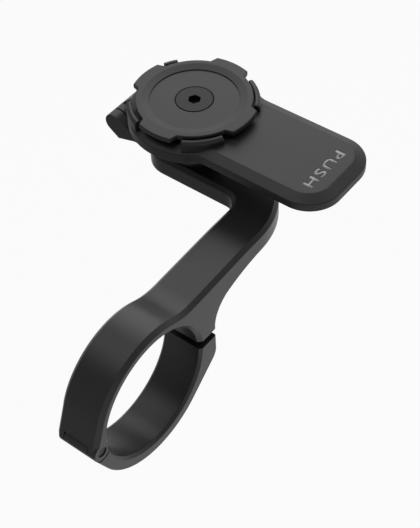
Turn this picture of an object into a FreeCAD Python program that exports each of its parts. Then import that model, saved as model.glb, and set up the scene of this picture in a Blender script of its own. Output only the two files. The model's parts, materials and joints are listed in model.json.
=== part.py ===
import FreeCAD, Part
import math
import os

# Handlebar phone mount: a hinged bar clamp whose arm sweeps forward and turns
# sideways into a plate, with a sprung twist-lock head on that plate.
# Millimetres and degrees. The bar runs along X through the origin, +Y is forward
# to the head, and +Z is up, square to the face of the head.

# Bar clamp
BAR_DIAMETER = 35.0
CLAMP_WIDTH = 12.4
CLAMP_WALL = 3.7
SPLIT_ABOVE = 1.6
SPLIT_BELOW = 0.9
EAR_REACH = 6.3
EAR_FACE_HEIGHT = 0.6
EDGE_CHAMFER = 1.1
LOWER_CHAMFER = 0.3
BORE_CHAMFER = 0.75
UNDERSIDE_CHAMFER = 0.25

# Hinge at the back of the clamp
KNUCKLE_RADIUS = 2.7
KNUCKLE_WIDTH = 7.2
KNUCKLE_SIDE_GAP = 0.15
KNUCKLE_GAP = 0.4
HINGE_ANGLE = 182.2
CLAMP_PIN_DIAMETER = 2.8
CLAMP_PIN_INSET = 0.25
PIN_FIT = 0.02
KNUCKLE_PIN_FIT = 0.08

# Lower half of the clamp, and the bolt that draws it up
EAR_SLANT = 50.0
EAR_CORNER_RADIUS = 4.5
BOLT_OFFSET = 2.6
BOLT_DIAMETER = 3.0
BOLT_HEAD_DIAMETER = 5.5
BOLT_HEAD_HEIGHT = 3.0
BOLT_SOCKET = 2.5
BOLT_SOCKET_DEPTH = 1.5
BOLT_LENGTH = 14.0
BOLT_HOLE_CLEARANCE = 0.2
BOLT_SEAT_CLEARANCE = 0.2
BOLT_SWING_ROOM = 0.9
BOLT_THREAD_FIT = 0.02
BOLT_TIP_ROOM = 1.2
BOLT_GRIP = 5.0
WASHER_DIAMETER = 5.6
WASHER_THICKNESS = 0.5
WASHER_FIT = 0.1

# Arm
WAIST_RADIUS = 17.0
ARM_SLOPE = 3.0
CREST_RADIUS = 150.0
CREST_END = 42.0
ROOT_RADIUS = 8.8
BELLY_RADIUS = 49.0

# Plate at the end of the arm
PLATE_TOP = 19.1
PLATE_THICKNESS = 5.8
PLATE_HALF_WIDTH = 8.4
PLATE_END = 5.7
OUTER_BEND_RADIUS = 24.0
INNER_BEND_RADIUS = 4.2

# Head axis
HEAD_X = -26.1
HEAD_Y = 58.9

# Base of the head
FOOT_THICKNESS = 3.2
FOOT_RADIUS = 7.1
TONGUE_HALF_WIDTH = 8.35
TONGUE_START = 11.8
TONGUE_END = 17.3
TONGUE_LIFT = 1.1
PILLAR_RADIUS = 5.5
PILLAR_HEIGHT = 10.3
SPIGOT_RADIUS = 4.4
SPIGOT_HEIGHT = 0.8
PEG_DIAMETER = 3.0
PEG_LENGTH = 2.2
PEG_OFFSET = 5.6
SEAT_FIT = 0.05

# Lever hinge
HINGE_REACH = 21.8
HINGE_RISE = 4.0
BARREL_RADIUS = 2.9
LUG_WIDTH = 2.8
LUG_SIDE_GAP = 0.3
LUG_HEEL = 20.6
LUG_HEEL_DROP = 0.5
LUG_KNEE = 15.0
LUG_BACK_GAP = 0.6
LEVER_PIN_DIAMETER = 2.5
LEVER_PIN_COVER = 1.5
LEVER_PIN_FIT = 0.1

# Locking disc
HUB_HEIGHT = 2.1
NECK_RADIUS = 13.0
NECK_HEIGHT = 1.2
DISC_RADIUS = 15.2
DISC_THICKNESS = 1.3
LOBE_RADIUS = 17.0
LOBE_TIP_ANGLE = 34.0
LOBE_ROOT_ANGLE = 43.2
DISC_EDGE = 0.2
RECESS_RADIUS = 11.7
RECESS_BEVEL = 2.1
RECESS_DEPTH = 0.7
RECESS_STEP = 0.25

# Screw that holds the disc and the base to the plate
SCREW_DIAMETER = 5.0
SCREW_HEAD_DIAMETER = 9.7
SCREW_SOCKET = 3.0
SCREW_SOCKET_DEPTH = 1.8
SCREW_CLEARANCE = 0.15
SCREW_HEAD_GAP = 0.3
SCREW_THREAD_FIT = 0.02
SCREW_TIP_INSET = 0.6

# Push lever
LEVER_STOP_GAP = 0.4
LEVER_BEVEL_HEIGHT = 1.2
LEVER_BEVEL_WIDTH = 2.7
LEVER_TIP_BEVEL_WIDTH = 3.0
LEVER_EDGE_HEIGHT = 2.3
FLANGE_RADIUS = 17.6
FLANGE_DEPTH = 0.6
PADDLE_HALF_WIDTH = 13.5
PADDLE_REACH = 47.8
PADDLE_CORNER_RADIUS = 9.0
PADDLE_NECK_RADIUS = 6.0
LEVER_HOLE_RADIUS = 7.0
LEG_FOOT = 13.3
LEG_WIDTH = 5.0

# Four catch tabs that stand up between the lobes of the disc, two of them by the hinge
TAB_RADIUS = 17.05
TAB_GAP = 0.35
TAB_ANGLE = 38.0
HINGE_TAB_ANGLE = 31.0
HINGE_TAB_MIDDLE = 234.5
SHORT_TAB_ANGLE = 13.0
SHORT_TAB_MIDDLE = 148.0
TAB_RISE = 2.2
TAB_CHAMFER = 0.6
TAB_SWING_ROOM = 0.85

# Return spring round the pillar
SPRING_WIRE = 1.0
SPRING_GAP = 1.2
SPRING_TURNS = 4.5
SPRING_STEPS = 16
SPRING_SIDES = 6
SPRING_POCKET_DEPTH = 2.0
SPRING_POCKET_GAP = 0.6

# Sizes that follow from the driving dimensions
BORE_RADIUS = BAR_DIAMETER / 2
RING_RADIUS = BORE_RADIUS + CLAMP_WALL
HALF_WIDTH = CLAMP_WIDTH / 2
EAR_FACE = BORE_RADIUS + EAR_REACH
BOLT_Y = BORE_RADIUS + BOLT_OFFSET
BOLT_SEAT = -BOLT_GRIP
PLATE_BOTTOM = PLATE_TOP - PLATE_THICKNESS
PLATE_NEAR = HEAD_Y - PLATE_HALF_WIDTH
PLATE_FAR = HEAD_Y + PLATE_HALF_WIDTH
FOOT_TOP = PLATE_TOP + FOOT_THICKNESS
PILLAR_TOP = FOOT_TOP + PILLAR_HEIGHT
NECK_BOTTOM = PILLAR_TOP + HUB_HEIGHT
DISC_BOTTOM = NECK_BOTTOM + NECK_HEIGHT
DISC_TOP = DISC_BOTTOM + DISC_THICKNESS
RECESS_FLOOR = DISC_TOP - RECESS_DEPTH
LEVER_TOP = NECK_BOTTOM - LEVER_STOP_GAP
LEVER_RIM = LEVER_TOP - LEVER_BEVEL_HEIGHT
LEVER_BOTTOM = LEVER_RIM - LEVER_EDGE_HEIGHT
FLANGE_BOTTOM = LEVER_BOTTOM - FLANGE_DEPTH
SPRING_POCKET_TOP = FLANGE_BOTTOM + SPRING_POCKET_DEPTH
SPRING_RADIUS = PILLAR_RADIUS + SPRING_GAP + SPRING_WIRE / 2
BARREL_X = HEAD_X - HINGE_REACH
BARREL_Z = PLATE_TOP + HINGE_RISE
OVERLAP = 1.0
BEYOND = 2 * (HEAD_Y + PADDLE_REACH)
CLOSE = 0.01
STRAIGHT = 0.999

ORIGIN = FreeCAD.Vector(0, 0, 0)
ALONG_X = FreeCAD.Vector(1, 0, 0)
ALONG_Y = FreeCAD.Vector(0, 1, 0)
ALONG_Z = FreeCAD.Vector(0, 0, 1)

# Drawing planes: plan is X and Y, side is Y and Z, front is X and Z seen from behind
PLAN = FreeCAD.Rotation()
SIDE = FreeCAD.Rotation(FreeCAD.Vector(1, 1, 1), 120)
FRONT = FreeCAD.Rotation(ALONG_X, 90)


def point(u, v):
    """A point of a drawing plane."""
    return FreeCAD.Vector(u, v, 0)


def on_circle(centre, radius, angle):
    """The point of a circle at an angle."""
    turn = math.radians(angle)
    return centre + point(radius * math.cos(turn), radius * math.sin(turn))


def angle_of(vector):
    """The direction of a vector of a drawing plane."""
    return math.degrees(math.atan2(vector.y, vector.x))


def arc(centre, radius, start, end):
    """An arc from one angle to another, in the direction of the sign of end - start."""
    middle = on_circle(centre, radius, (start + end) / 2)
    return Part.Arc(on_circle(centre, radius, start), middle, on_circle(centre, radius, end)).toShape()


def line(start, end):
    """A straight edge."""
    return Part.makeLine(start, end)


def polygon(*corners):
    """The straight edges that join the corners in a closed loop."""
    return [line(a, b) for a, b in zip(corners, corners[1:] + corners[:1])]


def slab(edges, plane, start, end):
    """The solid between two levels of a drawing plane, with the outline given by the edges."""
    face = Part.Face(Part.Wire(edges))
    face.translate(ALONG_Z * start)
    solid = face.extrude(ALONG_Z * (end - start))
    return solid.transformed(FreeCAD.Placement(ORIGIN, plane).toMatrix())


def upright(radius, x, y, bottom, top):
    """A cylinder along Z."""
    return Part.makeCylinder(radius, top - bottom, FreeCAD.Vector(x, y, bottom))


def upright_cone(bottom_radius, top_radius, x, y, bottom, top):
    """A cone along Z."""
    return Part.makeCone(bottom_radius, top_radius, top - bottom, FreeCAD.Vector(x, y, bottom))


def hexagon(across_flats, x, y, bottom, top):
    """A hexagonal prism along Z."""
    centre = point(x, y)
    corners = [on_circle(centre, across_flats / math.sqrt(3), 60 * i) for i in range(6)]
    return slab(polygon(*corners), PLAN, bottom, top)


def tangent_point(outside, centre, radius, side):
    """Where a line from a point outside a circle touches it, on its left (1) or right (-1)."""
    away = outside - centre
    spread = math.degrees(math.acos(radius / away.Length))
    return on_circle(centre, radius, angle_of(away) + side * spread)


def hinge_centre():
    """The clamp's hinge axis in the side view: its knuckle touches the bore."""
    return on_circle(ORIGIN, BORE_RADIUS + KNUCKLE_RADIUS, HINGE_ANGLE)


def hinge_lean():
    """The angle between the hinge and the point where the ring runs straight on to the knuckle."""
    rise = (RING_RADIUS - KNUCKLE_RADIUS) / (BORE_RADIUS + KNUCKLE_RADIUS)
    return math.degrees(math.acos(rise))


def clamp_hinge_bar(radius, start, end):
    """A cylinder on the clamp's hinge axis."""
    hinge = hinge_centre()
    return Part.makeCylinder(radius, end - start, FreeCAD.Vector(start, hinge.x, hinge.y), ALONG_X)


def bar_space():
    """The handlebar's bore with the chamfers at its two mouths."""
    space = Part.makeCylinder(BORE_RADIUS, CLAMP_WIDTH, FreeCAD.Vector(-HALF_WIDTH, 0, 0), ALONG_X)
    for side in (-1, 1):
        mouth = FreeCAD.Vector(side * HALF_WIDTH, 0, 0)
        wide = BORE_RADIUS + BORE_CHAMFER
        space = space.fuse(Part.makeCone(wide, BORE_RADIUS, BORE_CHAMFER, mouth, ALONG_X * -side))
    return space


def split_angle(height):
    """The angle at which a level meets the bore in front."""
    return math.degrees(math.asin(height / BORE_RADIUS))


def arm_side():
    """The arm's side view: ear, belly, plate, crest, waist, half ring and knuckle."""
    root = point(EAR_FACE + ROOT_RADIUS, SPLIT_ABOVE + EAR_FACE_HEIGHT)
    belly_height = PLATE_BOTTOM - BELLY_RADIUS
    apart = BELLY_RADIUS - ROOT_RADIUS
    belly = point(root.x + math.sqrt(apart ** 2 - (belly_height - root.y) ** 2), belly_height)
    sweep = angle_of(root - belly)

    crest = point(CREST_END, PLATE_TOP - CREST_RADIUS)
    slope_start = on_circle(crest, CREST_RADIUS, 90 + ARM_SLOPE)
    downhill = on_circle(ORIGIN, 1, 180 + ARM_SLOPE)
    lifted = on_circle(slope_start, WAIST_RADIUS, 90 + ARM_SLOPE)
    along = lifted.dot(downhill)
    reach = (RING_RADIUS + WAIST_RADIUS) ** 2 - lifted.dot(lifted)
    waist = lifted + downhill * (-along - math.sqrt(along ** 2 + reach))
    waist_angle = angle_of(waist)

    hinge = hinge_centre()
    upper = HINGE_ANGLE - hinge_lean()
    plate_end = PLATE_FAR + OVERLAP
    mouth = split_angle(SPLIT_ABOVE)
    return [
        line(on_circle(ORIGIN, BORE_RADIUS, mouth), point(EAR_FACE, SPLIT_ABOVE)),
        line(point(EAR_FACE, SPLIT_ABOVE), point(EAR_FACE, root.y)),
        arc(root, ROOT_RADIUS, 180, sweep),
        arc(belly, BELLY_RADIUS, sweep, 90),
        line(point(belly.x, PLATE_BOTTOM), point(plate_end, PLATE_BOTTOM)),
        line(point(plate_end, PLATE_BOTTOM), point(plate_end, PLATE_TOP)),
        line(point(plate_end, PLATE_TOP), point(CREST_END, PLATE_TOP)),
        arc(crest, CREST_RADIUS, 90, 90 + ARM_SLOPE),
        line(slope_start, on_circle(waist, WAIST_RADIUS, ARM_SLOPE - 90)),
        arc(waist, WAIST_RADIUS, ARM_SLOPE - 90, waist_angle - 180),
        arc(ORIGIN, RING_RADIUS, waist_angle, upper),
        line(on_circle(ORIGIN, RING_RADIUS, upper), on_circle(hinge, KNUCKLE_RADIUS, upper)),
        arc(hinge, KNUCKLE_RADIUS, upper, HINGE_ANGLE + 180),
        arc(ORIGIN, BORE_RADIUS, HINGE_ANGLE, mouth),
    ]


def arm_plan():
    """The arm's plan: a straight bar that turns to the left into a round-ended plate."""
    back = -RING_RADIUS - BEYOND
    bend = point(HALF_WIDTH - OUTER_BEND_RADIUS, PLATE_FAR - OUTER_BEND_RADIUS)
    inner = point(-HALF_WIDTH - INNER_BEND_RADIUS, PLATE_NEAR - INNER_BEND_RADIUS)
    end = point(HEAD_X - PLATE_END, HEAD_Y)
    return [
        line(point(HALF_WIDTH, back), point(HALF_WIDTH, bend.y)),
        arc(bend, OUTER_BEND_RADIUS, 0, 90),
        line(point(bend.x, PLATE_FAR), point(end.x, PLATE_FAR)),
        arc(end, PLATE_HALF_WIDTH, 90, 270),
        line(point(end.x, PLATE_NEAR), point(inner.x, PLATE_NEAR)),
        arc(inner, INNER_BEND_RADIUS, 90, 0),
        line(point(-HALF_WIDTH, inner.y), point(-HALF_WIDTH, back)),
        line(point(-HALF_WIDTH, back), point(HALF_WIDTH, back)),
    ]


def outer_edges(solid, belongs):
    """The edges along the outside of a machined piece, away from its seams, that pass a test."""
    chosen = []
    for edge in solid.Edges:
        half = (edge.FirstParameter + edge.LastParameter) / 2
        middle = edge.valueAt(half)
        along = edge.tangentAt(half)
        seam = abs(along.x) > STRAIGHT and middle.y < PLATE_NEAR - CLOSE
        bore = math.hypot(middle.y, middle.z) < BORE_RADIUS + CLOSE
        if not (seam or bore) and belongs(middle, along):
            chosen.append(edge)
    return chosen


def arm():
    """The machined arm with the upper half of the clamp and the head's plate."""
    plate_middle = (PLATE_TOP + PLATE_BOTTOM) / 2

    def top(middle, along):
        return middle.y < 0 or (middle.z > plate_middle and abs(along.z) < STRAIGHT)

    def underside(middle, along):
        return middle.y > EAR_FACE and middle.z < plate_middle and abs(along.z) < STRAIGHT

    side = slab(arm_side(), SIDE, -BEYOND, BEYOND)
    solid = side.common(slab(arm_plan(), PLAN, -BEYOND, BEYOND))
    solid = solid.makeChamfer(EDGE_CHAMFER, outer_edges(solid, top))
    solid = solid.makeChamfer(UNDERSIDE_CHAMFER, outer_edges(solid, underside))
    solid = solid.fuse(clamp_hinge_bar(KNUCKLE_RADIUS, 0, HALF_WIDTH)).removeSplitter()

    slot = KNUCKLE_WIDTH / 2 + KNUCKLE_SIDE_GAP
    solid = solid.cut(bar_space())
    solid = solid.cut(clamp_hinge_bar(KNUCKLE_RADIUS + KNUCKLE_GAP, -slot, slot))
    solid = solid.cut(clamp_hinge_bar(CLAMP_PIN_DIAMETER / 2 + PIN_FIT, -HALF_WIDTH, HALF_WIDTH))
    thread_top = BOLT_SEAT - WASHER_THICKNESS + BOLT_LENGTH + BOLT_TIP_ROOM
    solid = solid.cut(upright(BOLT_DIAMETER / 2 + BOLT_THREAD_FIT, 0, BOLT_Y, 0, thread_top))
    solid = solid.cut(upright(SCREW_DIAMETER / 2 + SCREW_THREAD_FIT, HEAD_X, HEAD_Y, 0, PLATE_TOP))
    for x in peg_places():
        socket = PEG_DIAMETER / 2 + SEAT_FIT
        solid = solid.cut(upright(socket, x, HEAD_Y, PLATE_TOP - PEG_LENGTH - SEAT_FIT, PLATE_TOP))
    return solid


def lower_side():
    """The lower half's side view: bore, ear with its slanted foot, half ring and knuckle."""
    hinge = hinge_centre()
    lower = HINGE_ANGLE + hinge_lean()
    mouth = split_angle(SPLIT_BELOW)
    slant = on_circle(ORIGIN, RING_RADIUS, -EAR_SLANT)
    corner_x = EAR_FACE - EAR_CORNER_RADIUS
    run = (corner_x + EAR_CORNER_RADIUS * math.cos(math.radians(EAR_SLANT)) - slant.x)
    run = run / math.sin(math.radians(EAR_SLANT))
    slant_end = slant + on_circle(ORIGIN, run, 90 - EAR_SLANT)
    corner = slant_end - on_circle(ORIGIN, EAR_CORNER_RADIUS, -EAR_SLANT)
    return [
        arc(ORIGIN, BORE_RADIUS, HINGE_ANGLE, 360 - mouth),
        line(on_circle(ORIGIN, BORE_RADIUS, -mouth), point(EAR_FACE, -SPLIT_BELOW)),
        line(point(EAR_FACE, -SPLIT_BELOW), point(EAR_FACE, corner.y)),
        arc(corner, EAR_CORNER_RADIUS, 0, -EAR_SLANT),
        line(slant_end, slant),
        arc(ORIGIN, RING_RADIUS, 360 - EAR_SLANT, lower),
        line(on_circle(ORIGIN, RING_RADIUS, lower), on_circle(hinge, KNUCKLE_RADIUS, lower)),
        arc(hinge, KNUCKLE_RADIUS, lower, HINGE_ANGLE - 180),
    ]


def lower_clamp():
    """The lower half of the clamp: a middle knuckle behind, and a spot-faced ear in front."""
    def outside(middle, along):
        return abs(middle.x) > HALF_WIDTH - CLOSE and middle.z < -SPLIT_BELOW - CLOSE

    solid = slab(lower_side(), SIDE, -HALF_WIDTH, HALF_WIDTH)
    solid = solid.makeChamfer(LOWER_CHAMFER, outer_edges(solid, outside))
    solid = solid.cut(bar_space())
    for start, end in ((-HALF_WIDTH, -KNUCKLE_WIDTH / 2), (KNUCKLE_WIDTH / 2, HALF_WIDTH)):
        solid = solid.cut(clamp_hinge_bar(KNUCKLE_RADIUS + KNUCKLE_GAP, start, end))
    pin_hole = CLAMP_PIN_DIAMETER / 2 + KNUCKLE_PIN_FIT
    solid = solid.cut(clamp_hinge_bar(pin_hole, -HALF_WIDTH, HALF_WIDTH))
    hole = BOLT_DIAMETER / 2 + BOLT_HOLE_CLEARANCE
    seat = WASHER_DIAMETER / 2 + BOLT_SEAT_CLEARANCE
    solid = solid.cut(swing_slot(hole, BOLT_SEAT, 0))
    return solid.cut(swing_slot(seat, -BEYOND, BOLT_SEAT))


def swing_slot(radius, bottom, top):
    """A round hole for the bolt, drawn out forwards for the swing of the lower half."""
    far = BOLT_Y + BOLT_SWING_ROOM
    edges = [
        arc(point(0, BOLT_Y), radius, 180, 360),
        line(point(radius, BOLT_Y), point(radius, far)),
        arc(point(0, far), radius, 0, 180),
        line(point(-radius, far), point(-radius, BOLT_Y)),
    ]
    return slab(edges, PLAN, bottom, top)


def clamp_hinge_pin():
    """The pin of the clamp's hinge, sunk a little below both sides."""
    reach = HALF_WIDTH - CLAMP_PIN_INSET
    return clamp_hinge_bar(CLAMP_PIN_DIAMETER / 2, -reach, reach)


def clamp_bolt():
    """The socket-head bolt that draws the lower half up to the arm."""
    head_top = BOLT_SEAT - WASHER_THICKNESS
    head_bottom = head_top - BOLT_HEAD_HEIGHT
    solid = upright(BOLT_HEAD_DIAMETER / 2, 0, BOLT_Y, head_bottom, head_top)
    solid = solid.fuse(upright(BOLT_DIAMETER / 2, 0, BOLT_Y, head_top, head_top + BOLT_LENGTH))
    socket = hexagon(BOLT_SOCKET, 0, BOLT_Y, head_bottom, head_bottom + BOLT_SOCKET_DEPTH)
    return solid.cut(socket).removeSplitter()


def bolt_washer():
    """The washer between the bolt's head and the lower ear."""
    low = BOLT_SEAT - WASHER_THICKNESS
    ring = upright(WASHER_DIAMETER / 2, 0, BOLT_Y, low, BOLT_SEAT)
    return ring.cut(upright(BOLT_DIAMETER / 2 + WASHER_FIT, 0, BOLT_Y, low, BOLT_SEAT))


def peg_places():
    """Where the two locating pegs stand, in front of and behind the screw."""
    return (HEAD_X - PEG_OFFSET, HEAD_X + PEG_OFFSET)


def barrel(radius, near, far):
    """A cylinder on the lever's hinge axis, between two distances from the head's middle plane."""
    start = FreeCAD.Vector(BARREL_X, HEAD_Y + near, BARREL_Z)
    return Part.makeCylinder(radius, far - near, start, ALONG_Y)


def across(edges, near, far):
    """A front-view outline made solid between two distances from the head's middle plane."""
    return slab(edges, FRONT, -HEAD_Y - far, -HEAD_Y - near)


def head_base():
    """The moulded base: foot, pillar for the disc, two hinge lugs and two locating pegs."""
    step = HEAD_X - TONGUE_START
    foot = [
        arc(point(HEAD_X, HEAD_Y), FOOT_RADIUS, -90, 90),
        line(point(HEAD_X, HEAD_Y + FOOT_RADIUS), point(step, HEAD_Y + TONGUE_HALF_WIDTH)),
        line(point(step, HEAD_Y + TONGUE_HALF_WIDTH), point(step, HEAD_Y - TONGUE_HALF_WIDTH)),
        line(point(step, HEAD_Y - TONGUE_HALF_WIDTH), point(HEAD_X, HEAD_Y - FOOT_RADIUS)),
    ]
    solid = slab(foot, PLAN, PLATE_TOP, FOOT_TOP)
    back = point(HEAD_X - TONGUE_END, HEAD_Y - TONGUE_HALF_WIDTH) + ALONG_Z * (PLATE_TOP + TONGUE_LIFT)
    reach = TONGUE_END - TONGUE_START
    solid = solid.fuse(Part.makeBox(reach, 2 * TONGUE_HALF_WIDTH, FOOT_THICKNESS - TONGUE_LIFT, back))
    solid = solid.fuse(upright(PILLAR_RADIUS, HEAD_X, HEAD_Y, FOOT_TOP, PILLAR_TOP))
    solid = solid.fuse(upright(SPIGOT_RADIUS, HEAD_X, HEAD_Y, PILLAR_TOP, PILLAR_TOP + SPIGOT_HEIGHT))
    for x in peg_places():
        solid = solid.fuse(upright(PEG_DIAMETER / 2, x, HEAD_Y, PLATE_TOP - PEG_LENGTH, PLATE_TOP))

    centre = point(BARREL_X, BARREL_Z)
    bottom = point(HEAD_X - LUG_HEEL, PLATE_TOP - LUG_HEEL_DROP)
    knee = point(HEAD_X - LUG_KNEE, PLATE_TOP + TONGUE_LIFT)
    top = point(knee.x, FOOT_TOP)
    lug = [
        line(bottom, knee),
        line(knee, top),
        line(top, tangent_point(top, centre, BARREL_RADIUS, 1)),
        arc_between(tangent_point(top, centre, BARREL_RADIUS, 1),
                    tangent_point(bottom, centre, BARREL_RADIUS, -1), centre, BARREL_RADIUS),
        line(tangent_point(bottom, centre, BARREL_RADIUS, -1), bottom),
    ]
    inner = TONGUE_HALF_WIDTH - LUG_WIDTH
    for near, far in ((-TONGUE_HALF_WIDTH, -inner), (inner, TONGUE_HALF_WIDTH)):
        solid = solid.fuse(across(lug, near, far))
    solid = solid.removeSplitter()
    solid = solid.cut(barrel(BARREL_RADIUS + LUG_BACK_GAP, -inner, inner))
    solid = solid.cut(lever_pin_space(PIN_FIT))
    return solid.cut(upright(SCREW_DIAMETER / 2 + SCREW_CLEARANCE, HEAD_X, HEAD_Y, 0, BEYOND))


def arc_between(start, end, centre, radius):
    """The arc from one point of a circle anticlockwise to another."""
    first = angle_of(start - centre)
    sweep = (angle_of(end - centre) - first) % 360
    return arc(centre, radius, first, first + sweep)


def lever_pin_space(fit):
    """The lever's hinge pin, made larger by a fit: blind in the near lug, flush with the far one."""
    near = LEVER_PIN_COVER - TONGUE_HALF_WIDTH
    return barrel(LEVER_PIN_DIAMETER / 2 + fit, near, TONGUE_HALF_WIDTH)


def lever_hinge_pin():
    """The pin that the push lever turns on."""
    return lever_pin_space(0)


def locking_disc():
    """The fixed disc with four lobes, a shallow dish and a countersunk hole."""
    centre = point(HEAD_X, HEAD_Y)
    root = LOBE_ROOT_ANGLE / 2
    tip = LOBE_TIP_ANGLE / 2
    edges = []
    for middle in (0, 90, 180, 270):
        lobe_start = on_circle(centre, LOBE_RADIUS, middle - tip)
        lobe_end = on_circle(centre, LOBE_RADIUS, middle + tip)
        edges += [
            line(on_circle(centre, DISC_RADIUS, middle - root), lobe_start),
            arc(centre, LOBE_RADIUS, middle - tip, middle + tip),
            line(lobe_end, on_circle(centre, DISC_RADIUS, middle + root)),
            arc(centre, DISC_RADIUS, middle + root, middle + 90 - root),
        ]
    solid = slab(edges, PLAN, DISC_BOTTOM, DISC_TOP)
    rim = [e for e in solid.Edges if e.BoundBox.ZMin > DISC_TOP - CLOSE]
    solid = solid.makeChamfer(DISC_EDGE, rim)
    solid = solid.fuse(upright(NECK_RADIUS, HEAD_X, HEAD_Y, NECK_BOTTOM, DISC_BOTTOM))
    solid = solid.fuse(upright(PILLAR_RADIUS, HEAD_X, HEAD_Y, PILLAR_TOP, NECK_BOTTOM)).removeSplitter()
    step = RECESS_FLOOR + RECESS_STEP
    mouth = RECESS_RADIUS + RECESS_BEVEL
    solid = solid.cut(upright(RECESS_RADIUS, HEAD_X, HEAD_Y, RECESS_FLOOR, step))
    solid = solid.cut(upright_cone(RECESS_RADIUS, mouth, HEAD_X, HEAD_Y, step, DISC_TOP))
    spigot_top = PILLAR_TOP + SPIGOT_HEIGHT + SEAT_FIT
    solid = solid.cut(upright(SPIGOT_RADIUS + SEAT_FIT, HEAD_X, HEAD_Y, PILLAR_TOP, spigot_top))
    hole = SCREW_DIAMETER / 2 + SCREW_CLEARANCE
    solid = solid.cut(upright(hole, HEAD_X, HEAD_Y, PILLAR_TOP, DISC_TOP))
    wide = SCREW_HEAD_DIAMETER / 2 + SCREW_HEAD_GAP
    sink = wide - hole
    return solid.cut(upright_cone(hole, wide, HEAD_X, HEAD_Y, RECESS_FLOOR - sink, RECESS_FLOOR))


def disc_screw():
    """The countersunk socket screw through the disc and the base into the plate."""
    shank = SCREW_DIAMETER / 2
    head = SCREW_HEAD_DIAMETER / 2
    head_bottom = RECESS_FLOOR - (head - shank)
    solid = upright_cone(shank, head, HEAD_X, HEAD_Y, head_bottom, RECESS_FLOOR)
    solid = solid.fuse(upright(shank, HEAD_X, HEAD_Y, PLATE_BOTTOM + SCREW_TIP_INSET, head_bottom))
    socket = hexagon(SCREW_SOCKET, HEAD_X, HEAD_Y, RECESS_FLOOR - SCREW_SOCKET_DEPTH, RECESS_FLOOR)
    return solid.cut(socket)


def lever_outline(inset, tip_inset):
    """The lever's plan, drawn in by an inset: round flange, waisted neck and square paddle."""
    centre = point(HEAD_X, HEAD_Y)
    flange = FLANGE_RADIUS - inset
    half = PADDLE_HALF_WIDTH - inset
    corner = PADDLE_CORNER_RADIUS - inset
    neck = PADDLE_NECK_RADIUS + inset
    drop = PADDLE_HALF_WIDTH + PADDLE_NECK_RADIUS
    neck_x = HEAD_X + math.sqrt((FLANGE_RADIUS + PADDLE_NECK_RADIUS) ** 2 - drop ** 2)
    turn = math.degrees(math.asin(drop / (FLANGE_RADIUS + PADDLE_NECK_RADIUS)))
    tip = HEAD_X + PADDLE_REACH - tip_inset
    low = HEAD_Y - half
    high = HEAD_Y + half
    return [
        arc(centre, flange, turn, 360 - turn),
        arc(point(neck_x, HEAD_Y - drop), neck, 180 - turn, 90),
        line(point(neck_x, low), point(tip - corner, low)),
        arc(point(tip - corner, low + corner), corner, -90, 0),
        line(point(tip, low + corner), point(tip, high - corner)),
        arc(point(tip - corner, high - corner), corner, 0, 90),
        line(point(tip - corner, high), point(neck_x, high)),
        arc(point(neck_x, HEAD_Y + drop), neck, 270, 180 + turn),
    ]


def lever_plate():
    """The lever's flange and paddle, with a wide bevel round the top."""
    solid = slab(lever_outline(0, 0), PLAN, LEVER_BOTTOM, LEVER_RIM)
    rim = Part.Wire(lever_outline(0, 0))
    rim.translate(ALONG_Z * LEVER_RIM)
    crown = Part.Wire(lever_outline(LEVER_BEVEL_WIDTH, LEVER_TIP_BEVEL_WIDTH))
    crown.translate(ALONG_Z * LEVER_TOP)
    solid = solid.fuse(Part.makeLoft([rim, crown], True, True))
    solid = solid.fuse(upright(FLANGE_RADIUS, HEAD_X, HEAD_Y, FLANGE_BOTTOM, LEVER_RIM))
    return solid.removeSplitter()


def catch_tabs():
    """Four tabs round the disc. The two by the hinge are shorter, and stand off it to swing past."""
    inner = DISC_RADIUS + TAB_GAP
    top = LEVER_TOP + TAB_RISE
    section = Part.Face(Part.Wire(polygon(
        point(inner, LEVER_RIM - CLOSE),
        point(TAB_RADIUS, LEVER_RIM - CLOSE),
        point(TAB_RADIUS, top - TAB_CHAMFER),
        point(TAB_RADIUS - TAB_CHAMFER, top),
        point(inner, top),
    )))
    section = section.transformed(FreeCAD.Placement(ORIGIN, FRONT).toMatrix())
    flange = upright(FLANGE_RADIUS, HEAD_X, HEAD_Y, LEVER_BOTTOM, top)
    tabs = []
    for middle, sweep, stand_off in (
        (45, TAB_ANGLE, 0),
        (SHORT_TAB_MIDDLE, SHORT_TAB_ANGLE, TAB_SWING_ROOM),
        (HINGE_TAB_MIDDLE, HINGE_TAB_ANGLE, TAB_SWING_ROOM),
        (315, TAB_ANGLE, 0),
    ):
        tab = section.revolve(ORIGIN, ALONG_Z, sweep)
        tab.rotate(ORIGIN, ALONG_Z, middle - sweep / 2)
        tab.translate(point(HEAD_X - stand_off, HEAD_Y))
        tabs.append(tab.common(flange))
    return tabs


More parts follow.
